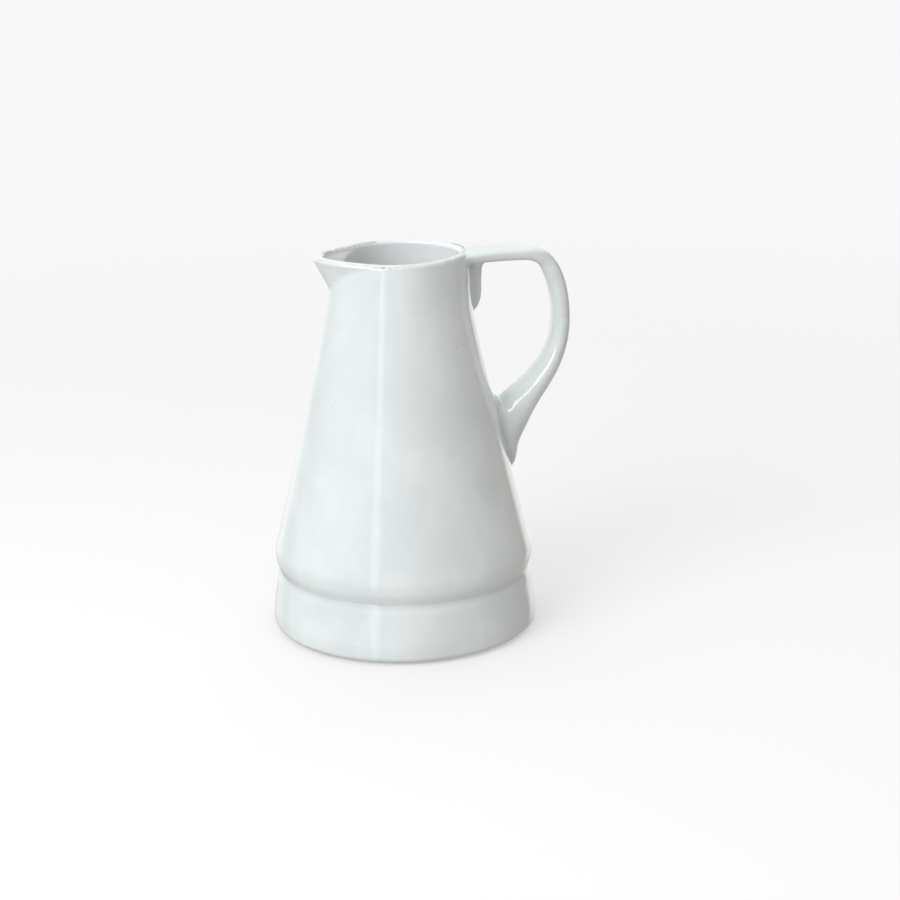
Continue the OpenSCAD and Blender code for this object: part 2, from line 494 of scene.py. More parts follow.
@dataclass(frozen=True)
class Glaze:
    """A glossy cool white glaze that pools grey-blue in hollows, darkened there with painted shade,
    and thins to clay on edges.
    """

    name: str = "glaze"
    white: Colour = (0.712, 0.76, 0.762)
    cloud: Colour = (0.655, 0.70, 0.705)
    # Painted light: the brighter white painted inside the vessel.
    thick: Colour = (0.86, 0.90, 0.905)
    # Pooled glaze and painted shade: the grey-blue of hollows, creases and undersides.
    pool: Colour = (0.55, 0.60, 0.62)
    clay: Colour = (0.30, 0.255, 0.205)
    cloud_scale: float = 22.0
    streak_scale: float = 16.0
    pool_and_shade_scale: float = 120.0
    wear_scale: float = 260.0
    grain_scale: float = 900.0
    speck_scale: float = 105.0
    speck_depth: float = 0.62
    gloss_scale: float = 46.0
    roughness: float = 0.085
    wear_roughness: float = 0.35
    coat: float = 0.25
    coat_roughness: float = 0.04
    index: float = 1.52
    wave: float = 0.00022

    def make(self) -> bpy.types.Material:
        """Writes the material.

        Slow clouds of noise and upright streaks shift the white, and the painted value
        `inside` makes it brighter, which is painted light. Pooled glaze and painted shade
        darken hollows, creases and the undersides of beak and arm to grey-blue, and `wear`,
        broken up by fine noise, lets the clay through on edges. A sparse cell pattern
        leaves iron specks and pinholes. The surface has slow waves left by the dipping,
        and a fine orange skin.

        Returns:
            The material.
        """
        s = Shader(self.name)
        thin, speck = self.thin(s), self.speck(s)
        s.link(self.colour(s, thin, speck), s.surface.inputs["Base Color"])
        bare = s.math("MAXIMUM", thin, speck)
        s.link(self.dullness(s, bare), s.surface.inputs["Roughness"])
        s.surface.inputs["IOR"].default_value = self.index
        s.surface.inputs["Coat Weight"].default_value = self.coat
        s.surface.inputs["Coat Roughness"].default_value = self.coat_roughness
        s.link(self.skin(s, bare), s.surface.inputs["Normal"])
        return s.material

    def thin(self, s: Shader) -> bpy.types.NodeSocket:
        """Where the clay shows through: the painted wear, broken up by two noises.

        Args:
            s: The material being written.

        Returns:
            A value from 0, glazed, to 1, bare.
        """
        patches = s.ramp(s.noise(self.wear_scale, 3.0), 0.32, 0.62)
        grain = s.ramp(s.noise(self.grain_scale, 4.0), 0.35, 0.6, 0.45, 1.0)
        return s.math("MULTIPLY", s.math("MULTIPLY", s.painted("wear"), patches), grain)

    def speck(self, s: Shader) -> bpy.types.NodeSocket:
        """Iron specks: a small spot at the middle of a few of the cells.

        Args:
            s: The material being written.

        Returns:
            A value from 0 to 1 on a speck.
        """
        distance, colour = s.cells(self.speck_scale)
        chance = s.add("ShaderNodeSeparateColor")
        s.link(colour, chance.inputs["Color"])
        spot = s.ramp(distance, 0.028, 0.062, 1.0, 0.0)
        return s.math("MULTIPLY", spot, s.ramp(chance.outputs[0], 0.955, 0.975))

    def colour(
        self, s: Shader, thin: bpy.types.NodeSocket, speck: bpy.types.NodeSocket
    ) -> bpy.types.NodeSocket:
        """The glaze's colour, from its clouds up to its specks.

        Args:
            s: The material being written.
            thin: Where the clay shows through.
            speck: Where the specks are.

        Returns:
            The colour.
        """
        clouds = s.ramp(s.noise(self.cloud_scale, 3.0), 0.38, 0.66)
        colour = s.mix(clouds, opaque(self.white), opaque(self.cloud))
        streaks = s.noise(self.streak_scale, 4.0, (6.0, 6.0, 0.5))
        colour = s.mix(s.ramp(streaks, 0.42, 0.72, 0.0, 0.5), colour, opaque(self.cloud))
        # Painted light: a brighter white inside the vessel.
        colour = s.mix(s.painted("inside"), colour, opaque(self.thick))
        # Pooled glaze and painted shade, broken up by noise.
        uneven = s.ramp(s.noise(self.pool_and_shade_scale, 2.0), 0.2, 0.6, 0.55, 1.0)
        pooled_and_shaded = s.math("MULTIPLY", s.painted("pool"), uneven)
        colour = s.mix(pooled_and_shaded, colour, opaque(self.pool))
        colour = s.mix(thin, colour, opaque(self.clay))
        return s.mix(s.math("MULTIPLY", speck, self.speck_depth), colour, opaque(self.clay))

    def dullness(self, s: Shader, bare: bpy.types.NodeSocket) -> bpy.types.NodeSocket:
        """Roughness: an uneven gloss, much duller where the clay shows.

        Args:
            s: The material being written.
            bare: Where the clay or a speck shows.

        Returns:
            The roughness.
        """
        least, most = self.roughness - 0.03, self.roughness + 0.05
        gloss = s.ramp(s.noise(self.gloss_scale, 3.0), 0.0, 1.0, least, most, "LINEAR")
        dull = s.add("ShaderNodeMath", operation="MULTIPLY_ADD")
        s.link(bare, dull.inputs[0])
        dull.inputs[1].default_value = self.wear_roughness
        s.link(gloss, dull.inputs[2])
        return dull.outputs["Value"]

    def skin(self, s: Shader, bare: bpy.types.NodeSocket) -> bpy.types.NodeSocket:
        """The surface: slow waves, level ripples, orange skin, and pits where it is bare.

        Args:
            s: The material being written.
            bare: Where the clay or a speck shows.

        Returns:
            The bent normal.
        """
        normal = s.bump(s.noise(24.0, 1.5), self.wave * 4.0, 0.35)
        normal = s.bump(s.noise(11.0, 1.0, (1.0, 1.0, 5.0)), self.wave * 3.0, 0.3, normal)
        normal = s.bump(s.noise(700.0, 2.0), self.wave * 0.09, 0.3, normal)
        return s.bump(s.math("SUBTRACT", 1.0, bare), self.wave * 0.5, 0.5, normal)


@dataclass(frozen=True)
class BareClay:
    """Fired clay without glaze, buff, dry and sandy, with the turning marks of its trimming."""

    name: str = "bare clay"
    clay: Colour = (0.56, 0.47, 0.37)
    shade: float = 0.8
    dark: Colour = (0.36, 0.28, 0.21)
    mottle_scale: float = 90.0
    grog_scale: float = 650.0
    grog_depth: float = 0.55
    sand_scale: float = 1500.0

    def make(self) -> bpy.types.Material:
        """Writes the material.

        Two sizes of noise mottle the clay, a cell pattern scatters dark grog, and the
        grog and a fine noise give the bump.

        Returns:
            The material.
        """
        s = Shader(self.name)
        mottle = s.ramp(s.noise(self.mottle_scale, 5.0), 0.3, 0.7)
        darker = tuple(self.shade * c for c in self.clay)
        colour = s.mix(mottle, opaque(self.clay), opaque(darker))
        grog = s.ramp(s.cells(self.grog_scale)[0], 0.1, 0.3, 1.0, 0.0)
        colour = s.mix(s.math("MULTIPLY", grog, self.grog_depth), colour, opaque(self.dark))
        s.link(colour, s.surface.inputs["Base Color"])
        s.link(s.ramp(s.noise(300.0, 3.0), 0.2, 0.8, 0.72, 0.92), s.surface.inputs["Roughness"])
        normal = s.bump(s.noise(self.sand_scale, 4.0), 0.0003, 0.5)
        s.link(s.bump(grog, 0.0002, 0.4, normal), s.surface.inputs["Normal"])
        return s.material


def dress(
    piece: bpy.types.Object,
    finish: Glaze | BareClay,
    made: Materials,
    node: str,
) -> None:
    """Gives a piece its finish, sets it on the body and hides the CAD node it stands for.

    Args:
        piece: The piece.
        finish: Its finish.
        made: Materials made so far, by finish name.
        node: CAD node that the piece replaces.
    """
    if finish.name not in made:
        made[finish.name] = finish.make()
    piece.data.materials.append(made[finish.name])
    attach(piece, BODY)
    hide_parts(node)
    LOG.info("%s: %d faces, replaces %s", piece.name, len(piece.data.polygons), node)


# ---------------------------------------------------------------------------
# The body
# ---------------------------------------------------------------------------


def turned_by(angle: np.ndarray, start: float) -> np.ndarray:
    """How many degrees each angle lies from a start, from -180 to 180."""
    return (angle - start + 180.0) % 360.0 - 180.0


@dataclass(frozen=True)
class Mark:
    """A place where the glaze is thin or chipped: an oval smear on the rim or wall."""

    angle: float
    height: float
    length: float
    width: float
    strength: float = 1.0

    def paint(self, angle: np.ndarray, radius: np.ndarray, height: np.ndarray) -> np.ndarray:
        """Strength of the mark at each point: a bell along and across it.

        Args:
            angle: Degrees round the body.
            radius: Distance from the axis.
            height: Height above the floor.

        Returns:
            Values from 0 to the mark's strength.
        """
        along = np.radians(turned_by(angle, self.angle)) * radius
        across = bell(height - self.height, self.width)
        return self.strength * bell(along, self.length / 2, 4.0) * across


@dataclass
class Body:
    """The thrown body: upper wall with its beak, base band, floor and resting ring.

    The cone's outward normal rises by `slope` and points outwards by `square`, and the
    rim leans inwards by the same slope.
    """

    height: float = 240.0
    slope: float = 0.217
    square: float = 0.976
    rim_r: float = 39.0
    rim_round: float = 2.6
    lip_r: float = 81.7
    lip_z: float = 47.6
    lip_rise: float = 6.0
    lip_turn: float = 0.9
    hollow: float = 1.5
    rim_wall: float = 5.2
    foot_wall: float = 4.8
    groove_r: float = 79.4
    groove_z: float = 37.6
    base_r: float = 84.0
    widest: float = 12.0
    bead: float = 0.7
    bead_z: float = 7.0
    foot_r: float = 76.0
    foot_w: float = 7.0
    foot_h: float = 3.5
    floor_t: float = 5.5
    beak_reach: float = 52.0
    beak_half: int = 56
    beak_spread: float = 27.0
    beak_rise: float = 0.6
    beak_drop: float = 20.0
    neck_out: float = 5.4
    neck_in: float = 4.0
    neck_wear: float = 0.3
    columns: int = 360
    rim_steps: int = 24
    notch_steps: int = 30
    glaze: Glaze = Glaze()
    marks: tuple[Mark, ...] = (
        Mark(-113.0, 238.4, 10.0, 0.5, 1.0),
        Mark(108.0, 240.2, 9.0, 1.6, 0.7),
        Mark(125.0, 240.0, 15.0, 2.0, 0.95),
        Mark(146.0, 239.6, 9.0, 1.8, 0.75),
        Mark(165.0, 239.6, 9.0, 2.2, 0.9),
        Mark(-80.0, 1.2, 3.0, 0.8, 1.0),
    )

    @property
    def around(self) -> np.ndarray:
        """Angles of the grid's columns, in degrees from the handle."""
        return np.arange(self.columns) * 360.0 / self.columns

    @property
    def notch_z(self) -> float:
        """Level of the ledge that the beak stands on."""
        return self.height - self.beak_drop - 3.0

    @property
    def crown(self) -> float:
        """Level where the rim's rounding starts."""
        return self.height - self.rim_round

    def thick(self, z: np.ndarray) -> np.ndarray:
        """Level thickness of the wall: a straight taper from groove to rim."""
        share = (z - self.groove_z) / (self.height - self.groove_z)
        return self.foot_wall + (self.rim_wall - self.foot_wall) * share

    def side(self, z: np.ndarray) -> np.ndarray:
        """Radius of the cone: a straight line from lip to rim, less a shallow parabola.

        Args:
            z: Heights.

        Returns:
            Radii.
        """
        t = (z - self.lip_z) / (self.height - self.lip_z)
        wide = self.lip_r + self.lip_turn
        return wide + (self.rim_r - wide) * t - 4 * self.hollow * t * (1 - t)

    def outer(self, z: np.ndarray) -> np.ndarray:
        """Outside radius of the upper wall.

        Above the lip it is the cone. Near the lip a parabola turns the cone upright, and
        below it a smooth step of the depth to the power 1.5 runs in to the groove.

        Args:
            z: Heights.

        Returns:
            Radii.
        """
        top = self.lip_z + self.lip_rise
        turned = self.side(z) - self.lip_turn * np.clip((top - z) / self.lip_rise, 0, 1) ** 2
        depth = np.clip((self.lip_z - z) / (self.lip_z - self.groove_z), 0, 1)
        below = self.lip_r - (self.lip_r - self.groove_r) * smooth(0, 1, depth**1.5)
        return np.where(z > self.lip_z, turned, below)

    def band(self, z: np.ndarray) -> np.ndarray:
        """Radius of the band above its widest level: a small smooth step and a straight slope.

        Args:
            z: Heights.

        Returns:
            Radii.
        """
        down = self.groove_z - z
        spread = self.base_r - self.groove_r - self.bead
        step = self.groove_r + self.bead * smooth(0, self.bead_z, down)
        return step + spread * down / (self.groove_z - self.widest)

    def inner(self, z: np.ndarray) -> np.ndarray:
        """Inside radius of the upper wall: the cone less the wall, with the lip left out.

        Below the lip it is a straight line, nearly upright.

        Args:
            z: Heights.

        Returns:
            Radii.
        """
        top = self.lip_z + self.lip_rise
        under = 0.2 * (self.side(top) - self.groove_r - 0.2) * (top - z) / (top - self.groove_z)
        low = self.side(top) - under + 0.02 * (top - z)
        return np.where(z > top, self.side(z), low) - self.thick(z)

    def swell(self, off: np.ndarray, z: np.ndarray) -> np.ndarray:
        """How far the beak stands out of the neck.

        The rim's plan is a bell round the tip. The underside falls from it at a steady
        slope and meets the neck in a short smooth bend, which is the larger of the two
        surfaces with its corner rounded. A power of the angle closes it at its ends.

        Args:
            off: Degrees away from the tip.
            z: Heights.

        Returns:
            Millimetres outwards.
        """
        reach = self.beak_reach - self.rim_r
        ends = 1 - np.clip(np.abs(off) / self.beak_half, 0, 1) ** 6
        below = np.maximum(self.crown - z, 0) * self.beak_drop / (self.beak_drop - self.rim_round)
        raw = reach * bell(off, self.beak_spread, 1.7) * ends - reach / self.beak_drop * below
        soft = 0.8 + 4.0 * bell(off, 30.0)
        rising = smooth(self.notch_z, self.notch_z + 7, z)
        return 0.5 * (raw + np.sqrt(raw * raw + soft)) * rising * ends

    def shoulder(self, angle: np.ndarray, z: np.ndarray, inside: bool = False) -> np.ndarray:
        """How far the neck is drawn out towards the handle: a bell that grows to the rim.

        Args:
            angle: Degrees round the body.
            z: Heights.
            inside: True for the wall's inner face.

        Returns:
            Millimetres outwards.
        """
        off = turned_by(angle, 0.0)
        drawn = self.neck_in * bell(off, 40.0) if inside else self.neck_out * bell(off, 34.0)
        return drawn * smooth(self.height - 40, self.height - 2, z)

    def hand(self, angle: np.ndarray, z: np.ndarray) -> np.ndarray:
        """Unevenness left by the hands, never outwards.

        Two slow sine waves run round and up the wall, with faint throwing rings that come
        and go. Their largest sum is taken off, so that nothing stands beyond the form.

        Args:
            angle: Degrees round the body.
            z: Heights.

        Returns:
            Millimetres outwards, all below zero.
        """
        a = np.radians(angle)
        waves = 0.11 * np.sin(2 * a + 0.9 + z * 0.011) + 0.07 * np.sin(3 * a - 0.7 - z * 0.02)
        come_and_go = 0.5 + 0.5 * np.sin(z * 0.071 + a)
        rings = 0.035 * np.sin(z * 0.42 + 0.8 * np.sin(a + 1.0)) * come_and_go
        return (waves + rings - 0.22) * smooth(0.0, 6.0, z)

    def wall_rows(self) -> tuple[np.ndarray, np.ndarray, int, int]:
        """Levels of the skin's rows, up the outside, over the rim and down the inside.

        The rows lie closest together over the lip.

        Returns:
            Heights, the share of the outside at each row, from 1 outside through the
            rim's half circle to 0 inside, and the rows where the beak's notch starts
            and ends.
        """
        under_lip, over_lip = 46.0, 56.0
        low = np.concatenate([
            np.linspace(self.groove_z, under_lip, 26, endpoint=False),
            np.linspace(under_lip, over_lip, 18, endpoint=False),
            np.linspace(over_lip, self.notch_z, 62, endpoint=False),
        ])
        up = np.linspace(self.notch_z, self.crown, self.notch_steps, endpoint=False)
        arc = np.radians(np.linspace(0, 180, self.rim_steps))
        down = np.linspace(self.notch_z, self.groove_z, 44)[1:]
        over = self.crown + self.rim_round * np.sin(arc)
        z = np.concatenate([low, up, over, up[::-1], down])
        before, after = len(low) + len(up), len(up) + len(down)
        out = np.concatenate([np.ones(before), 0.5 + 0.5 * np.cos(arc), np.zeros(after)])
        return z, out, len(low), len(low) + 2 * len(up) + len(arc) - 1

    def wall_grid(self) -> tuple[np.ndarray, dict[str, np.ndarray], int, int]:
        """The whole skin of wall and beak.

        The rim is half an ellipse, leaned inwards with the cone. The beak and the neck's
        draw towards the handle are added to the radius, and the beak's edge is lifted.

        Returns:
            Points (rows, columns, 3), painted values, and the two rows, outside and
            inside, where the beak's notch starts. Row i and row (first + last - i) of
            the notch face each other across the wall.
        """
        rows, out, first, last = self.wall_rows()
        z, w, angle = rows[:, None], out[:, None], self.around[None, :]
        off = turned_by(angle, 180.0)
        crown = np.float64(self.crown)
        lean = self.slope * np.maximum(z - crown, 0)
        rim = self.outer(crown) * w + self.inner(crown) * (1 - w) - lean
        base = np.where(w >= 1, self.outer(z), np.where(w <= 0, self.inner(z), rim))
        beak = self.swell(off, z) * (1 - 0.1 * (1 - w) * bell(off, 17.0))
        neck = w * self.shoulder(angle, z) + (1 - w) * self.shoulder(angle, z, True)
        radius = base + beak + neck + self.hand(angle, z) * (0.4 + 0.6 * w)
        lift = self.beak_rise * bell(off, self.beak_spread) * smooth(self.notch_z, self.height, z)
        return carried(radius, z + lift, angle), self.wall_paint(radius, z, w), first, last

    def wall_paint(self, radius: np.ndarray, z: np.ndarray, w: np.ndarray) -> dict[str, np.ndarray]:
        """Painted values of the wall's skin.

        The rim's outer edge and the marks are worn. Pooled glaze and painted shade darken the
        groove, the underside of the beak and the crease beside the lug, and the inside is painted
        brighter, which is painted light.

        Args:
            radius: Radii (rows, columns).
            z: Heights (rows, 1).
            w: Share of the outside (rows, 1).

        Returns:
            Arrays (rows, columns) by name.
        """
        angle = self.around[None, :]
        full = np.zeros(radius.shape)
        edge = bell(w - 0.86, 0.13) * (z > self.crown - 0.01)
        wear = self.neck_wear * edge + full
        for mark in self.marks:
            wear = wear + mark.paint(angle, radius, z) * (w > 0.05)
        # Pooled glaze and painted shade in the groove, under the beak and in the lug's crease.
        groove = bell(z - self.groove_z, 2.2)
        beak = bell(z - (self.height - self.beak_drop), 3.0) * bell(turned_by(angle, 180.0), 18.0)
        lug = smooth(198, 206, z) * (1 - smooth(226, 234, z))
        crease = bell(np.abs(turned_by(angle, 0.0)) - 15.5, 5.0) * lug
        pool = (0.45 * groove + 0.25 * beak + 0.85 * crease) * (w >= 1)
        # Painted light: the inside is marked for a brighter white.
        inside = smooth(0.8, 1, 1 - w) + full
        return {"wear": np.clip(wear, 0, 1), "pool": np.clip(pool, 0, 1), "inside": inside}

    def build_wall(self) -> tuple[bpy.types.Object, bpy.types.Object]:
        """Cuts the skin into the upper wall and the beak, and closes both along the cut.

        There is one column to a degree, so `beak_half` counts columns as well as degrees.

        Returns:
            The upper wall and the beak.
        """
        points, paint, first, last = self.wall_grid()
        rows, n = points.shape[:2]
        tip = n // 2
        left, right = tip - self.beak_half, tip + self.beak_half
        within = np.arange(left, right)
        without = np.concatenate([np.arange(right, n), np.arange(0, left)])
        every = np.arange(n)
        notch = np.arange(first, last)
        others = np.concatenate([np.arange(0, first), np.arange(last, rows - 1)])
        wall = Patch(points, paint)
        wall.soft = [quads(others, every, n), quads(notch, without, n)]
        wall.flat = [closing(rows, n), *self.ends(first, last, left, right, n, False)]
        beak = Patch(points, paint)
        beak.soft = [quads(notch, within, n)]
        beak.flat = self.ends(first, last, left, right, n, True)
        return wall.build("upper_wall_glazed"), beak.build("beak_glazed")

    @staticmethod
    def ends(
        first: int, last: int, left: int, right: int, n: int, beak: bool
    ) -> list[np.ndarray]:
        """Faces across the wall's thickness that close the cut round the beak.

        Args:
            first: Outside row where the notch starts.
            last: Inside row where it ends.
            left: First column of the beak.
            right: Column after its last.
            n: Columns in the grid.
            beak: True for the beak's side of the cut, False for the wall's.

        Returns:
            Two upright ends and the ledge below.
        """
        half = np.arange(first, first + (last - first) // 2)
        other = first + last - half
        across = np.stack([half, half + 1, other - 1, other], axis=1) * n
        faces = []
        for column, turn in ((left, beak), (right, not beak)):
            face = across + column
            faces.append(face if turn else face[:, ::-1])
        low, high = first * n + np.arange(left, right), last * n + np.arange(left, right)
        ledge = np.stack([low, low + 1, high + 1, high], axis=1)
        faces.append(ledge[:, ::-1] if beak else ledge)
        return faces

    def turned(self, profile: np.ndarray, columns: int, hand: bool) -> np.ndarray:
        """A profile carried round the axis.

        Args:
            profile: (n, 2) radii and heights, in the order that keeps the clay on its left.
            columns: Steps round the axis.
            hand: True adds the unevenness of the hands.

        Returns:
            Points (n, columns, 3).
        """
        angle = np.arange(columns)[None, :] * 360.0 / columns
        r, z = profile[:, :1], profile[:, 1:]
        return carried(r + self.hand(angle, z) if hand else r, z, angle)

    def band_profile(self) -> tuple[np.ndarray, int]:
        """Outline of the base band.

        From the bottom edge a quarter of an ellipse rises to the widest point, and the
        band's own curve leads in to the groove. The inside comes back down, thickening,
        and ends in a hollow, a quarter ellipse, that meets the floor.

        Returns:
            (n, 2) radii and heights, and how many of them are on the outside.
        """
        heel_r, heel_rise, heel_z = 8.0, 5.3, 5.5
        a = np.radians(np.linspace(-90, 0, 20))
        heel_radii = self.base_r - heel_r + heel_r * np.cos(a)
        heel = np.stack([heel_radii, heel_z + heel_rise * np.sin(a)], axis=1)
        upper = 32.0
        slope = np.linspace(self.widest, upper, 26, endpoint=False)
        z = np.concatenate([slope, np.linspace(upper, self.groove_z, 24)])
        face = np.stack([self.band(z), z], axis=1)
        wall = float(self.inner(np.float64(self.groove_z)))
        floor = self.foot_h + self.floor_t
        curl_r, curl_z, thickening = 7.6, 9.0, 3.2
        c = np.linspace(self.groove_z, floor + curl_z, 16)
        share = (self.groove_z - c) / (self.groove_z - floor - curl_z)
        inside = np.stack([wall + thickening * share, c], axis=1)
        foot = inside[-1, 0] - curl_r
        d = np.radians(np.linspace(0, 84, 14))[1:]
        curl = np.stack([foot + curl_r * np.cos(d), floor + curl_z - curl_z * np.sin(d)], axis=1)
        seat = np.array([[foot, floor], [self.foot_r, floor], [self.foot_r, 1.5]])
        return np.concatenate([heel, face, inside, curl, seat]), len(heel) + len(face)

    @staticmethod
    def seated(points: np.ndarray, paint: dict[str, np.ndarray], name: str) -> bpy.types.Object:
        """A closed ring whose last two rows of faces, and the row that closes it, are joints.

        Args:
            points: The grid of its profile carried round the axis.
            paint: Painted values.
            name: The object's name.

        Returns:
            The ring.
        """
        rows, n = points.shape[:2]
        columns = np.arange(n)
        patch = Patch(points, paint)
        patch.soft = [quads(np.arange(rows - 3), columns, n)]
        patch.flat = [quads(np.arange(rows - 3, rows - 1), columns, n), closing(rows, n)]
        return patch.build(name)

    def build_band(self) -> bpy.types.Object:
        """The base band, a closed ring with the bead of glaze at its bottom edge painted thin.

        Pooled glaze and painted shade darken the groove outside, and the corner with the floor
        inside.

        Returns:
            The band.
        """
        profile, outer_rows = self.band_profile()
        points = self.turned(profile, 288, True)
        angle = np.arange(points.shape[1])[None, :] * 360.0 / points.shape[1]
        r, z = profile[:, :1] + 0 * angle, profile[:, 1:]
        outside = (np.arange(len(profile))[:, None] < outer_rows) & (r > self.foot_r - 2)
        wear = 0.85 * bell(z - 0.3, 0.9) * outside
        for mark in self.marks:
            wear = wear + mark.paint(angle, r, z) * outside
        # Pooled glaze and painted shade in the groove outside and the inner corner.
        groove, corner = bell(z - self.groove_z, 2.0), bell(z - 9.5, 3.0)
        pool = np.where(outside, 0.5 * groove, 0.6 * corner)
        paint = {"wear": np.clip(wear, 0, 1), "pool": np.clip(pool, 0, 1)}
        return self.seated(points, paint, "base_band_glazed")

    def build_floor(self) -> bpy.types.Object:
        """The floor, a disc.

        Its top has a slow spiral of throwing rings, a sine of the radius less the angle,
        and sinks a little in the middle. Its underside has finer turned rings.

        Returns:
            The floor.
        """
        high, low = self.foot_h + self.floor_t, self.foot_h
        r = np.linspace(1.0, self.foot_r, 76)[:, None]
        n = 180
        angle = np.arange(n)[None, :] * 360.0 / n
        spiral = 0.22 * np.sin(r * 0.78 - np.radians(angle)) * smooth(2, 14, r)
        top = high + spiral * (1 - smooth(60, 68, r)) - 0.25 * bell(r, 16.0)
        under = low + 0.12 * np.sin(r * 1.15) * smooth(2, 8, r) * (1 - smooth(64, 68, r)) + 0.1
        points = np.concatenate([carried(r, under, angle), carried(r[::-1], top[::-1], angle)])
        rows, half = len(points), len(r)
        # Pooled glaze and painted shade on the top, darker towards the wall.
        pool = np.zeros((rows, n))
        pool[half:] = 0.3 + 0.35 * smooth(60, 74, r[::-1])
        patch = Patch(points, {"wear": np.zeros((rows, n)), "pool": pool})
        columns = np.arange(n)
        patch.soft = [quads(np.delete(np.arange(rows - 1), half - 1), columns, n)]
        patch.flat = [quads(np.array([half - 1]), columns, n)]
        patch.fans = [(columns, False), ((rows - 1) * n + columns, True)]
        return patch.build("floor_glazed")

    def build_ring(self) -> bpy.types.Object:
        """The bare resting ring: a flat face between two small rounded edges.

        Its sides have a faint ripple, a sine of one direction shifted by the cosine of
        the other, and its flat face and its top have none.

        Returns:
            The ring.
        """
        outer, inner, top = self.foot_r, self.foot_r - self.foot_w, self.foot_h
        edge = 1.0
        a = np.radians(np.linspace(0, 90, 7))
        into = np.stack([inner + edge - np.cos(a) * edge, edge - np.sin(a) * edge], axis=1)
        flat = np.stack([np.linspace(inner + 1.4, outer - 0.8, 9), np.zeros(9)], axis=1)
        out = np.array(
            [[outer - 0.3, 0.06], [outer, 0.3], [outer, 1.6], [outer, top], [inner, top]]
        )
        points = self.turned(np.concatenate([into, flat, out]), 240, False)
        x, y, z = np.moveaxis(points, 2, 0)
        ripple = 0.05 * np.sin(x * 0.9 + np.cos(y * 0.7))
        sides = (z >= 0.02) & (z < top - 0.1)
        points[..., 2] = np.maximum(z + ripple * sides, 0.0)
        return self.seated(points, {}, "foot_ring_bare")

    def assemble(self, made: Materials) -> None:
        """Builds and dresses the body's five pieces.

        Args:
            made: Materials made so far, by finish name.
        """
        wall, beak = self.build_wall()
        dress(wall, self.glaze, made, "upper_wall")
        dress(beak, self.glaze, made, "beak")
        dress(self.build_band(), self.glaze, made, "base_band")
        dress(self.build_floor(), self.glaze, made, "floor_disc")
        dress(self.build_ring(), BareClay(), made, "foot_ring")


# ---------------------------------------------------------------------------
# The handle
# ---------------------------------------------------------------------------


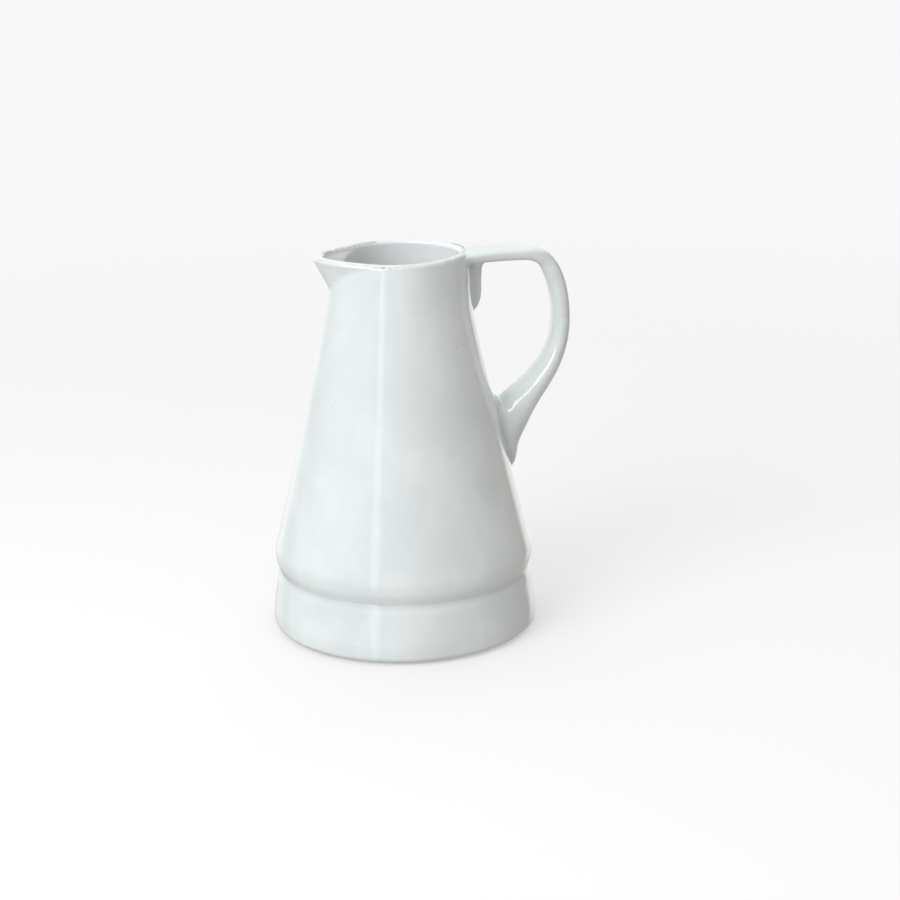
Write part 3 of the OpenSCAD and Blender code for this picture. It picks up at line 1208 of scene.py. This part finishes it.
@dataclass
class Handle:
    """The pulled handle: strap, lug under the arm and flared lower root."""

    body: Body
    strap_w: float = 21.0
    strap_t: float = 10.5
    grip_x: float = 104.0
    root_w: float = 36.0
    root_h: float = 46.0
    strap_power: float = 2.7
    root_power: float = 2.05
    lug_x: float = 52.6
    lug_half: float = 10.5
    lug_back: float = 3.0
    lug_power: float = 2.3
    fillet: float = 2.2
    root_fillet: float = 1.1
    lug_fillet: float = 1.54
    bite: float = 1.2
    ring: int = 96
    per_step: int = 16
    strap_steps: int = 11
    cap_rows: int = 8
    glaze: Glaze = Glaze()

    @property
    def round_ring(self) -> np.ndarray:
        """Angles round a section, in radians, as one row."""
        return (np.arange(self.ring) * 2 * np.pi / self.ring)[None, :]

    @property
    def stations(self) -> np.ndarray:
        """Sections of strap and root, from inside the rim round to inside the belly.

        Returns:
            One row to a section: x, z, tilt of the outer face, thickness and width.
        """
        h, g, w, t = self.body.height, self.grip_x, self.strap_w, self.strap_t
        arm = h - 4.4
        tall, wide = self.root_h, self.root_w
        return np.array([
            [34, arm, 90, 8.8, 37],
            [43, arm, 90, 8.8, 30.5],
            [56, arm, 90, 8.8, 24],
            [72, arm, 89, 9, w],
            [84, arm - 0.6, 78, 9.6, w],
            [92.4, h - 9.2, 54, t, w],
            [98.4, h - 19, 28, t + 0.5, w],
            [g - 2, h - 32, 12, t + 0.5, w],
            [g - 0.8, h - 47, 1, t + 1, w],
            [g - 2.6, h - 62, -12, t + 1.5, w + 1],
            [g - 7.8, h - 75, -27, t + 2.5, w + 3],
            [g - 15.2, h - 86, -40, t + 4.5, w + 5],
            [g - 22.6, h - 94.8, -48, t + 7.5, w + 7.5],
            [g - 29.4, h - 103.4, -58, t + 13.5, w + 10],
            [g - 34.8, h - 111.6, -69, tall * 0.68, wide - 2.5],
            [g - 38.2, h - 118.4, -77.4, tall, wide],
            [g - 45.4, h - 120.0, -77.4, tall, wide],
        ])

    def held(self, points: np.ndarray) -> np.ndarray:
        """Points that would come out inside the vessel, pushed back into its wall's thickness.

        The least radius allowed is `bite` outside the wall's inner face, or the rim's
        crest where the strap lies over it. A point's radius is the larger of its own
        and the least, with the corner between the two rounded.

        Args:
            points: The piece's grid.

        Returns:
            The grid with its radii changed.
        """
        body = self.body
        radius = np.hypot(points[..., 0], points[..., 1])
        angle = np.degrees(np.arctan2(points[..., 1], points[..., 0]))
        z = np.clip(points[..., 2], body.groove_z, body.height)
        drawn = body.shoulder(angle, z, True)
        middle = 0.5 * (drawn + body.shoulder(angle, z))
        crest = body.rim_r - body.rim_round + 0.6 + middle
        least = np.maximum(crest, body.inner(z) + self.bite + drawn)
        kept = 0.5 * (radius + least + np.sqrt((radius - least) ** 2 + 1.0))
        k = kept / np.maximum(radius, 1e-6)
        return points * np.stack([k, k, np.ones(k.shape)], axis=-1)

    def clearance(self, points: np.ndarray) -> np.ndarray:
        """Distance of each point from the wall's outer face, square to its slope.

        Args:
            points: The piece's grid.

        Returns:
            Distances, below zero inside the wall.
        """
        z = np.clip(points[..., 2], self.body.groove_z, self.body.height)
        angle = np.degrees(np.arctan2(points[..., 1], points[..., 0]))
        wall = self.body.outer(z) + self.body.shoulder(angle, z)
        return (np.hypot(points[..., 0], points[..., 1]) - wall) * self.body.square

    def filleted(self, points: np.ndarray, normals: np.ndarray, radius: np.ndarray) -> np.ndarray:
        """Spreads a piece where it meets the wall, in a hollow of one radius.

        At distance d from the wall the skin moves outwards along the wall by
        R - sqrt(2 R d - d^2), which is the quarter circle that touches both. The level
        top of the arm is left as it is.

        Args:
            points: The piece's grid.
            normals: Its normals.
            radius: The hollow's radius, row by row.

        Returns:
            The spread grid.
        """
        d = np.clip(self.clearance(points), 0, radius)
        spread = radius - np.sqrt(np.maximum(2 * radius * d - d * d, 0))
        x, y, z = np.moveaxis(points, -1, 0)
        outwards = self.body.square / np.hypot(x, y)
        rising = np.full(x.shape, self.body.slope)
        wall = np.stack([x * outwards, y * outwards, rising], axis=-1)
        along = normals - (normals * wall).sum(axis=-1, keepdims=True) * wall
        arm = smooth(self.body.height - 14, self.body.height - 6, z)
        level = 1 - smooth(0.15, 0.75, normals[..., 2]) * arm
        return points + along * (spread * level)[..., None]

    def strap_grid(self) -> np.ndarray:
        """The strap and root as one sweep: a squarish superellipse carried along the stations.

        Two slow sines along and round the strap leave it a little uneven, past the arm.

        Returns:
            Points (sections, ring, 3).
        """
        rows = spline(self.stations, self.per_step)
        x, z, tilt, thick, wide = (rows[:, i : i + 1] for i in range(5))
        turn = self.round_ring
        s = np.arange(len(rows))[:, None] / len(rows)
        power = self.strap_power - (self.strap_power - self.root_power) * smooth(0.34, 0.6, s)
        out, across = superellipse(turn, thick / 2, wide / 2, power)
        waves = 0.012 * np.sin(9 * s + turn) + 0.008 * np.sin(23 * s - 2 * turn)
        uneven = 1 + waves * smooth(0.12, 0.3, s)
        out, across, t = out * uneven, across * uneven, np.radians(tilt)
        grid = np.stack([x + out * np.cos(t), -across, z + out * np.sin(t)], axis=2)
        return np.concatenate([self.cap(grid[0]), grid, self.cap(grid[-1])[::-1]])

    def cap(self, ring: np.ndarray) -> np.ndarray:
        """Rings that close an end inside the wall, growing from its middle to a section.

        Args:
            ring: The section's points (ring, 3).

        Returns:
            Points (cap_rows, ring, 3), without the section itself.
        """
        share = np.linspace(0.02, 1, self.cap_rows, endpoint=False)[:, None, None]
        middle = ring.mean(axis=0)
        return middle + (ring - middle) * share

    def paint(self, points: np.ndarray, normals: np.ndarray) -> dict[str, np.ndarray]:
        """Pooled glaze and painted shade in the joint with the wall, and a little wear on the
        grip's sides.

        Args:
            points: The piece's grid.
            normals: Its normals.

        Returns:
            Arrays by name, one value to a point.
        """
        below = 1 - smooth(self.body.height - 8, self.body.height - 2, points[..., 2])
        # Pooled glaze and painted shade in the joint with the wall.
        pool = 0.8 * bell(np.maximum(self.clearance(points), 0), 2.6) * below
        sides = smooth(0.55, 0.9, np.abs(normals[..., 1]) * 1.2)
        return {"pool": pool, "wear": 0.10 * sides * smooth(70, 90, points[..., 0])}

    def swept(
        self, points: np.ndarray, radius: np.ndarray
    ) -> tuple[np.ndarray, dict[str, np.ndarray]]:
        """A grid spread at the wall and held in its thickness, with its paint.

        Args:
            points: The piece's grid.
            radius: Radius of the hollow at the wall, row by row.

        Returns:
            The new grid and its painted values.
        """
        points = self.held(self.filleted(points, grid_normals(points), radius))
        return points, self.paint(points, grid_normals(points))

    def build_strap(self) -> tuple[bpy.types.Object, bpy.types.Object]:
        """Cuts the sweep into strap and root at the station where they are joined.

        Returns:
            The strap and the root.
        """
        grid = self.strap_grid()
        rows, n = grid.shape[:2]
        along = np.linspace(0, 1, rows)[:, None]
        narrowing = (self.fillet - self.root_fillet) * smooth(0.4, 0.7, along)
        points, paint = self.swept(grid, self.fillet - narrowing)
        cut = self.strap_steps * self.per_step + self.cap_rows
        columns = np.arange(n)
        pieces = []
        for name, a, b in (("handle_strap_glazed", 0, cut), ("handle_root_glazed", cut, rows - 1)):
            patch = Patch(points, paint)
            patch.soft = [quads(np.arange(a, b), columns, n)]
            patch.fans = [(a * n + columns, False), (b * n + columns, True)]
            pieces.append(patch.build(name))
        return pieces[0], pieces[1]

    def build_lug(self) -> bpy.types.Object:
        """The lug: level superellipses down the neck, from inside the arm to a rounded tip.

        The stations give z, the reach of the outer face from the axis, and half the width.

        Returns:
            The lug.
        """
        h, x, half = self.body.height, self.lug_x, self.lug_half
        stations = np.array([
            [h - 5, x + 6, half + 1.2],
            [h - 8.4, x + 3.4, half + 0.8],
            [h - 10.2, x + 1.3, half + 0.4],
            [h - 13, x + 0.4, half],
            [h - 20, x, half - 0.2],
            [h - 28, x - 0.2, half - 0.8],
            [h - 33, x - 1.2, half - 2.2],
            [h - 37, x - 3, half - 4.4],
            [h - 40, x - 5.6, half - 7.6],
            [h - 41.2, x - 7.6, half - 9.6],
        ])
        levels = spline(stations, 10)
        z, reach, wide = (levels[:, i : i + 1] for i in range(3))
        back = self.body.side(z) - self.lug_back
        deep, wide = np.maximum(reach - back, 0.4), np.maximum(wide, 0.5)
        out, across = superellipse(self.round_ring, deep, wide, self.lug_power)
        grid = np.stack([back + out, -across, np.broadcast_to(z, out.shape)], axis=2)
        points, paint = self.swept(grid, np.full((len(grid), 1), self.lug_fillet))
        # Pooled glaze and painted shade under the arm, at the lug's top.
        under = bell(points[..., 2] - (h - 9.0), 2.0)
        paint["pool"] = np.clip(paint["pool"] + 0.35 * under, 0, 1)
        rows, n = points.shape[:2]
        columns = np.arange(n)
        patch = Patch(points, paint)
        patch.soft = [quads(np.arange(rows - 1), columns, n)]
        patch.fans = [(columns, False), ((rows - 1) * n + columns, True)]
        return patch.build("handle_lug_glazed")

    def assemble(self, made: Materials) -> None:
        """Builds and dresses the handle's three pieces.

        Args:
            made: Materials made so far, by finish name.
        """
        strap, root = self.build_strap()
        dress(strap, self.glaze, made, "handle_strap")
        dress(root, self.glaze, made, "handle_root")
        dress(self.build_lug(), self.glaze, made, "handle_lug")


# ---------------------------------------------------------------------------
# The studio
# ---------------------------------------------------------------------------


@dataclass
class Studio:
    """A pale seamless floor, a soft room brighter on the left with a bright strip in it, one soft
    key light and the camera.

    `ground`, `ceiling` and `room` are the light of the room below, above and round the
    pitcher. Each stop of `room` is an angle from the front, to the right, and its light.
    """

    turn: float = -10.0
    distance: float = 1.38474
    rise: float = 0.54595
    yaw: float = -1.258
    pitch: float = 17.407
    roll: float = -0.992
    lens: float = 92.0
    paper: float = 0.939
    gain: float = 4.0
    sheet: Colour = (0.8, 0.8, 0.8)
    ground: Colour = (0.45, 0.43, 0.41)
    ceiling: Colour = (1.3, 1.3, 1.3)
    room: tuple[tuple[float, float, float, float], ...] = (
        (-180, 0.9, 0.9, 0.9),
        (-150, 1.1, 1.1, 1.1),
        (-130, 0.5, 0.5, 0.5),
        (-90, 0.5, 0.5, 0.5),
        (-60, 0.42, 0.42, 0.42),
        (-31, 0.42, 0.42, 0.42),
        (-29, 1.8, 1.8, 1.8),
        (-23, 1.8, 1.8, 1.8),
        (-21, 0.44, 0.44, 0.44),
        (-5, 0.44, 0.44, 0.44),
        (22, 0.4, 0.39, 0.38),
        (50, 0.32, 0.27, 0.24),
        (136, 0.3, 0.26, 0.23),
        (143, 1.5, 1.48, 1.46),
        (165, 1.3, 1.3, 1.3),
        (180, 0.9, 0.9, 0.9),
    )

    def direction(self, right: float, front: float, up: float) -> Vector:
        """A unit vector from the pitcher, in the camera's terms.

        Args:
            right: Share to the camera's right.
            front: Share towards the camera.
            up: Share upwards.

        Returns:
            The vector.
        """
        a = math.radians(self.turn)
        across = Vector((math.cos(a), math.sin(a), 0.0))
        towards = Vector((math.sin(a), -math.cos(a), 0.0))
        return (across * right + towards * front + Vector((0, 0, up))).normalized()

    def place_camera(self) -> None:
        """Puts the camera on its stand: a turn round the pitcher, then yaw, pitch and roll."""
        data = bpy.data.cameras.new("camera")
        data.lens, data.sensor_width = self.lens, 36.0
        camera = bpy.data.objects.new("camera", data)
        bpy.context.scene.collection.objects.link(camera)
        a = math.radians(self.turn)
        spot = Vector((math.sin(a) * self.distance, -math.cos(a) * self.distance, self.rise))
        aim = (
            Matrix.Rotation(a + math.radians(self.yaw), 4, "Z")
            @ Matrix.Rotation(math.radians(90.0 - self.pitch), 4, "X")
            @ Matrix.Rotation(math.radians(self.roll), 4, "Z")
        )
        camera.matrix_world = Matrix.Translation(spot) @ aim
        bpy.context.scene.camera = camera

    def lay_floor(self, low: float) -> None:
        """A round pale sheet under the pitcher that fades into the backdrop at its edge.

        Args:
            low: Height of the sheet.
        """
        n = 96
        r = np.array([0.001, 0.3, 0.6, 0.9, 1.3, 1.8, 2.6])[:, None]
        points = carried(r, np.full(r.shape, low), np.arange(n)[None, :] * 360.0 / n)
        faces = quads(np.arange(len(r) - 1), np.arange(n), n)[:, ::-1]
        mesh = bpy.data.meshes.new("floor")
        middle = [list(range(n))]
        mesh.from_pydata(points.reshape(-1, 3).tolist(), [], faces.tolist() + middle)
        floor = bpy.data.objects.new("floor", mesh)
        bpy.context.scene.collection.objects.link(floor)
        s = Shader("floor paper")
        s.surface.inputs["Base Color"].default_value = opaque(self.sheet)
        s.surface.inputs["Roughness"].default_value = 0.9
        s.surface.inputs["Specular IOR Level"].default_value = 0.1
        length = s.add("ShaderNodeVectorMath", operation="LENGTH")
        s.link(s.place, length.inputs[0])
        s.link(s.ramp(length.outputs["Value"], 0.25, 1.4, 0.55, 0.0), s.surface.inputs["Alpha"])
        mesh.materials.append(s.material)
        floor.visible_glossy = False
        floor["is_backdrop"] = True

    def light_room(self) -> None:
        """The backdrop and the room's soft light.

        What the camera sees behind the pitcher is plain paper. The light that falls on
        it comes from a room that is brightest to the left, fairly bright above, and
        darker and slightly warm to the right.
        """
        world = bpy.data.worlds.new("room")
        bpy.context.scene.world = world
        world.use_nodes = True
        world.node_tree.nodes.clear()
        s = Nodes(world.node_tree, "Generated")

        def along(direction: Vector) -> bpy.types.NodeSocket:
            """How far the looked-at direction points along another.

            Args:
                direction: The other direction, of length 1.

            Returns:
                The cosine of the angle between them.
            """
            dot = s.add("ShaderNodeVectorMath", operation="DOT_PRODUCT")
            s.link(s.place, dot.inputs[0])
            dot.inputs[1].default_value = direction
            return dot.outputs["Value"]

        turn = s.add("ShaderNodeMath", operation="ARCTAN2")
        s.link(along(self.direction(1, 0, 0)), turn.inputs[0])
        s.link(along(self.direction(0, 1, 0)), turn.inputs[1])
        share = s.ramp(turn.outputs["Value"], -math.pi, math.pi, kind="LINEAR")
        walls = s.add("ShaderNodeValToRGB")
        s.link(share, walls.inputs["Fac"])
        stops = walls.color_ramp.elements
        for angle, *_ in self.room[1:-1]:
            stops.new((angle + 180.0) / 360.0)
        for stop, (_, *light) in zip(stops, self.room):
            stop.color = self.dimmed(light)
        high = s.ramp(along(Vector((0, 0, 1))), 0.5, 0.85)
        colour = s.mix(high, walls.outputs["Color"], self.dimmed(self.ceiling))
        deep = s.ramp(along(Vector((0, 0, -1))), 0.2, 0.5)
        colour = s.mix(deep, colour, self.dimmed(self.ground))
        seen = s.add("ShaderNodeLightPath").outputs["Is Camera Ray"]
        colour = s.mix(seen, colour, self.dimmed((self.paper,) * 3))
        back = s.add("ShaderNodeBackground")
        s.link(colour, back.inputs["Color"])
        back.inputs["Strength"].default_value = self.gain
        out = s.add("ShaderNodeOutputWorld")
        s.link(back.outputs["Background"], out.inputs["Surface"])

    def dimmed(self, light: Colour) -> tuple[float, float, float, float]:
        """A light's colour before the background's strength, which is `gain`, is put on it."""
        return opaque(tuple(v / self.gain for v in light))

    def hang_light(
        self, name: str, spot: Vector, width: float, height: float, watts: float
    ) -> None:
        """An area light that faces the pitcher and that the camera doesn't see.

        Args:
            name: Its name.
            spot: Where it hangs.
            width: Width of its face in metres.
            height: Height of its face in metres.
            watts: Power.
        """
        data = bpy.data.lights.new(name, "AREA")
        data.shape, data.size, data.size_y, data.energy = "RECTANGLE", width, height, watts
        lamp = bpy.data.objects.new(name, data)
        bpy.context.scene.collection.objects.link(lamp)
        lamp.visible_camera = False
        aim = (Vector((0, 0, 0.12)) - spot).to_track_quat("-Z", "Y").to_matrix().to_4x4()
        lamp.matrix_world = Matrix.Translation(spot) @ aim

    def set_up(self, low: float) -> None:
        """Floor, room, lights and camera, and plain colours in the render.

        Args:
            low: Height of the floor.
        """
        bpy.context.scene.view_settings.view_transform = "Standard"
        self.place_camera()
        self.lay_floor(low)
        self.light_room()
        self.hang_light("key", self.direction(-0.6, 0.65, 0.62) * 1.6, 0.9, 0.9, 13.5)


def main() -> None:
    """Builds the pitcher round its frame, dresses it, and sets up the studio."""
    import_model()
    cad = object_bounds()
    studio = Studio()
    studio.set_up(cad[0][2])
    made: Materials = {}
    body = Body(height=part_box("upper_wall")[1][2] / MM)
    body.assemble(made)
    Handle(body).assemble(made)


if __name__ == "__main__":
    main()
